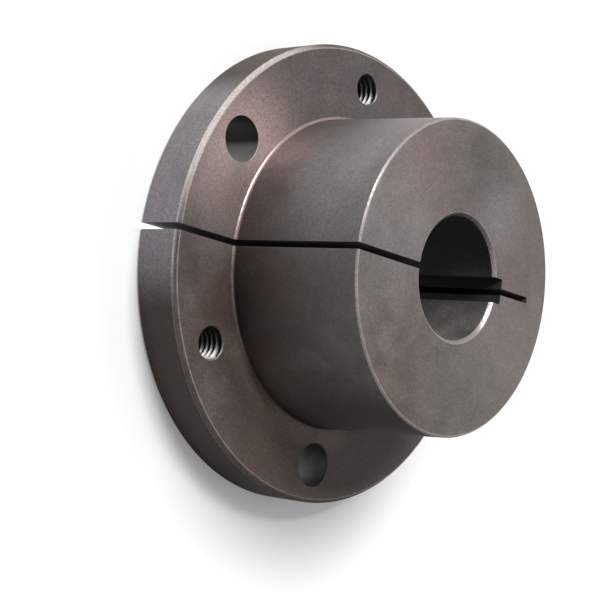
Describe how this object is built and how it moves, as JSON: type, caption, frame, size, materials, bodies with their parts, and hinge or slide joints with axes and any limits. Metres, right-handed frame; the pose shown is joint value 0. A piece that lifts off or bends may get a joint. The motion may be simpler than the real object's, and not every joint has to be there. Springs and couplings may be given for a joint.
{
  "type": "quick disconnect bushing",
  "caption": "Flanged, tapered and split bushing with a keyed bore, which screws draw into a hub so that it grips a shaft.",
  "frame": {"origin": "centre of the flange's back face, on the axis of the bore", "axes": "+Z along the bore from the flange's back face to the nose of the barrel, +X towards the keyway and away from the full split"},
  "size_m": [0.1174, 0.1174, 0.05],
  "materials": {
    "dark_steel": "machined steel with a dark, mottled oxide coating, satin"
  },
  "bodies": {
    "root": {"bushing": "dark_steel"}
  },
  "joints": []
}
